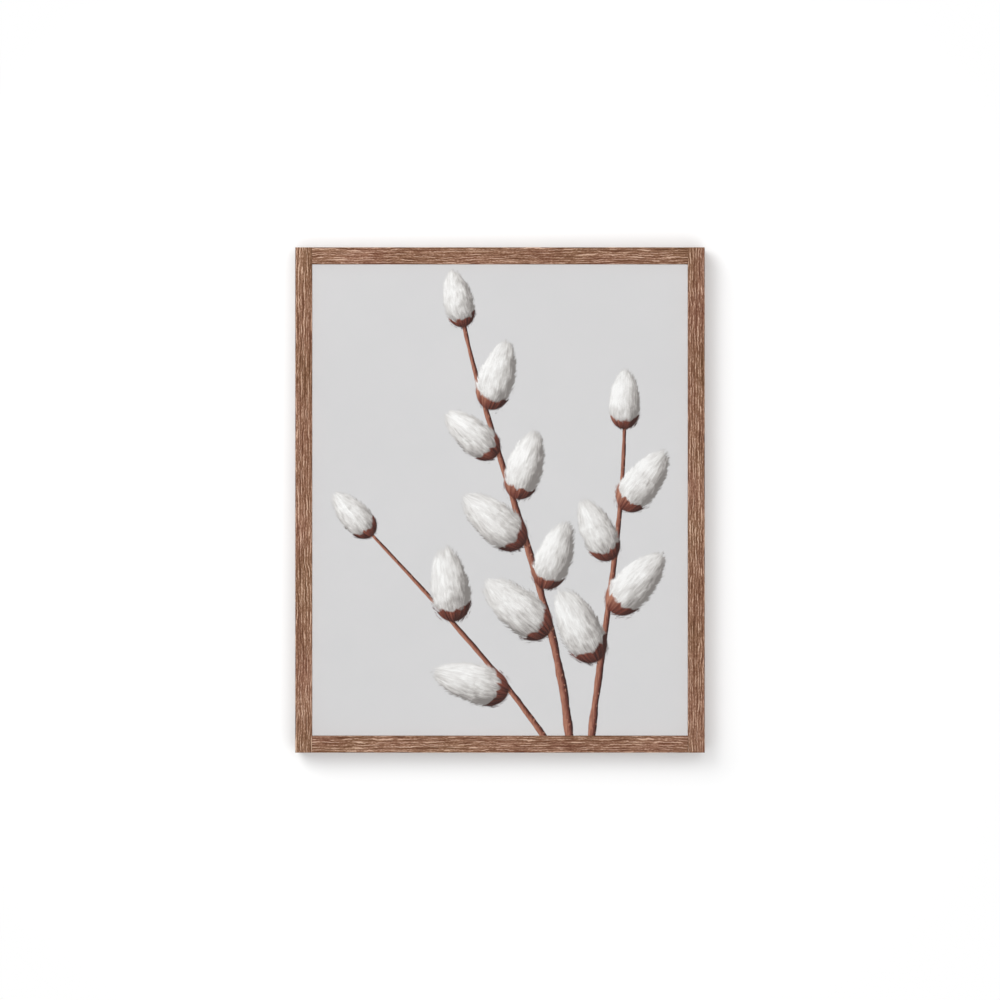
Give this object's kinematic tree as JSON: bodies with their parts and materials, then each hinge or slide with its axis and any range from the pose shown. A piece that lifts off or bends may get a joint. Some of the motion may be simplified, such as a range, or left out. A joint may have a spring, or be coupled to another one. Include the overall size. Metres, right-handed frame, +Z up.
{
  "type": "framed print",
  "caption": "Upright wall print behind clear acrylic in a butt-jointed walnut-brown wood frame, with a sawtooth hanger and wall bumpers on its back.",
  "frame": {"origin": "the point of the wall plane, on the frame's middle line, where a nail carries the middle notch of the hanger", "axes": "+Z up along the frame's height, +X to the right as the picture is looked at, +Y into the wall, so the picture faces -Y"},
  "size_m": [0.427, 0.025, 0.527],
  "materials": {
    "walnut_wood": "walnut brown, brushed open grain, matt",
    "beech": "plain dowel, bare",
    "clear_acrylic": "clear, polished",
    "printed_paper": "matt, printed on one face",
    "fibreboard": "thin brown fibreboard, smooth",
    "zinc_steel": "zinc plated",
    "brassed_steel": "brass plated steel",
    "grey_rubber": "matt, soft"
  },
  "bodies": {
    "root": {"stile_left": "walnut_wood", "stile_right": "walnut_wood", "rail_top": "walnut_wood", "rail_bottom": "walnut_wood", "dowel_top_left_front": "beech", "dowel_top_left_rear": "beech", "dowel_top_right_front": "beech", "dowel_top_right_rear": "beech", "dowel_bottom_left_front": "beech", "dowel_bottom_left_rear": "beech", "dowel_bottom_right_front": "beech", "dowel_bottom_right_rear": "beech", "glazing": "clear_acrylic", "print": "printed_paper", "backing_board": "fibreboard", "point_left_1": "zinc_steel", "point_left_2": "zinc_steel", "point_left_3": "zinc_steel", "point_right_1": "zinc_steel", "point_right_2": "zinc_steel", "point_right_3": "zinc_steel", "point_top_1": "zinc_steel", "point_top_2": "zinc_steel", "point_bottom_1": "zinc_steel", "point_bottom_2": "zinc_steel", "sawtooth_hanger": "brassed_steel", "hanger_screw_left": "zinc_steel", "hanger_screw_right": "zinc_steel", "bumper_left": "grey_rubber", "bumper_right": "grey_rubber"}
  },
  "joints": []
}
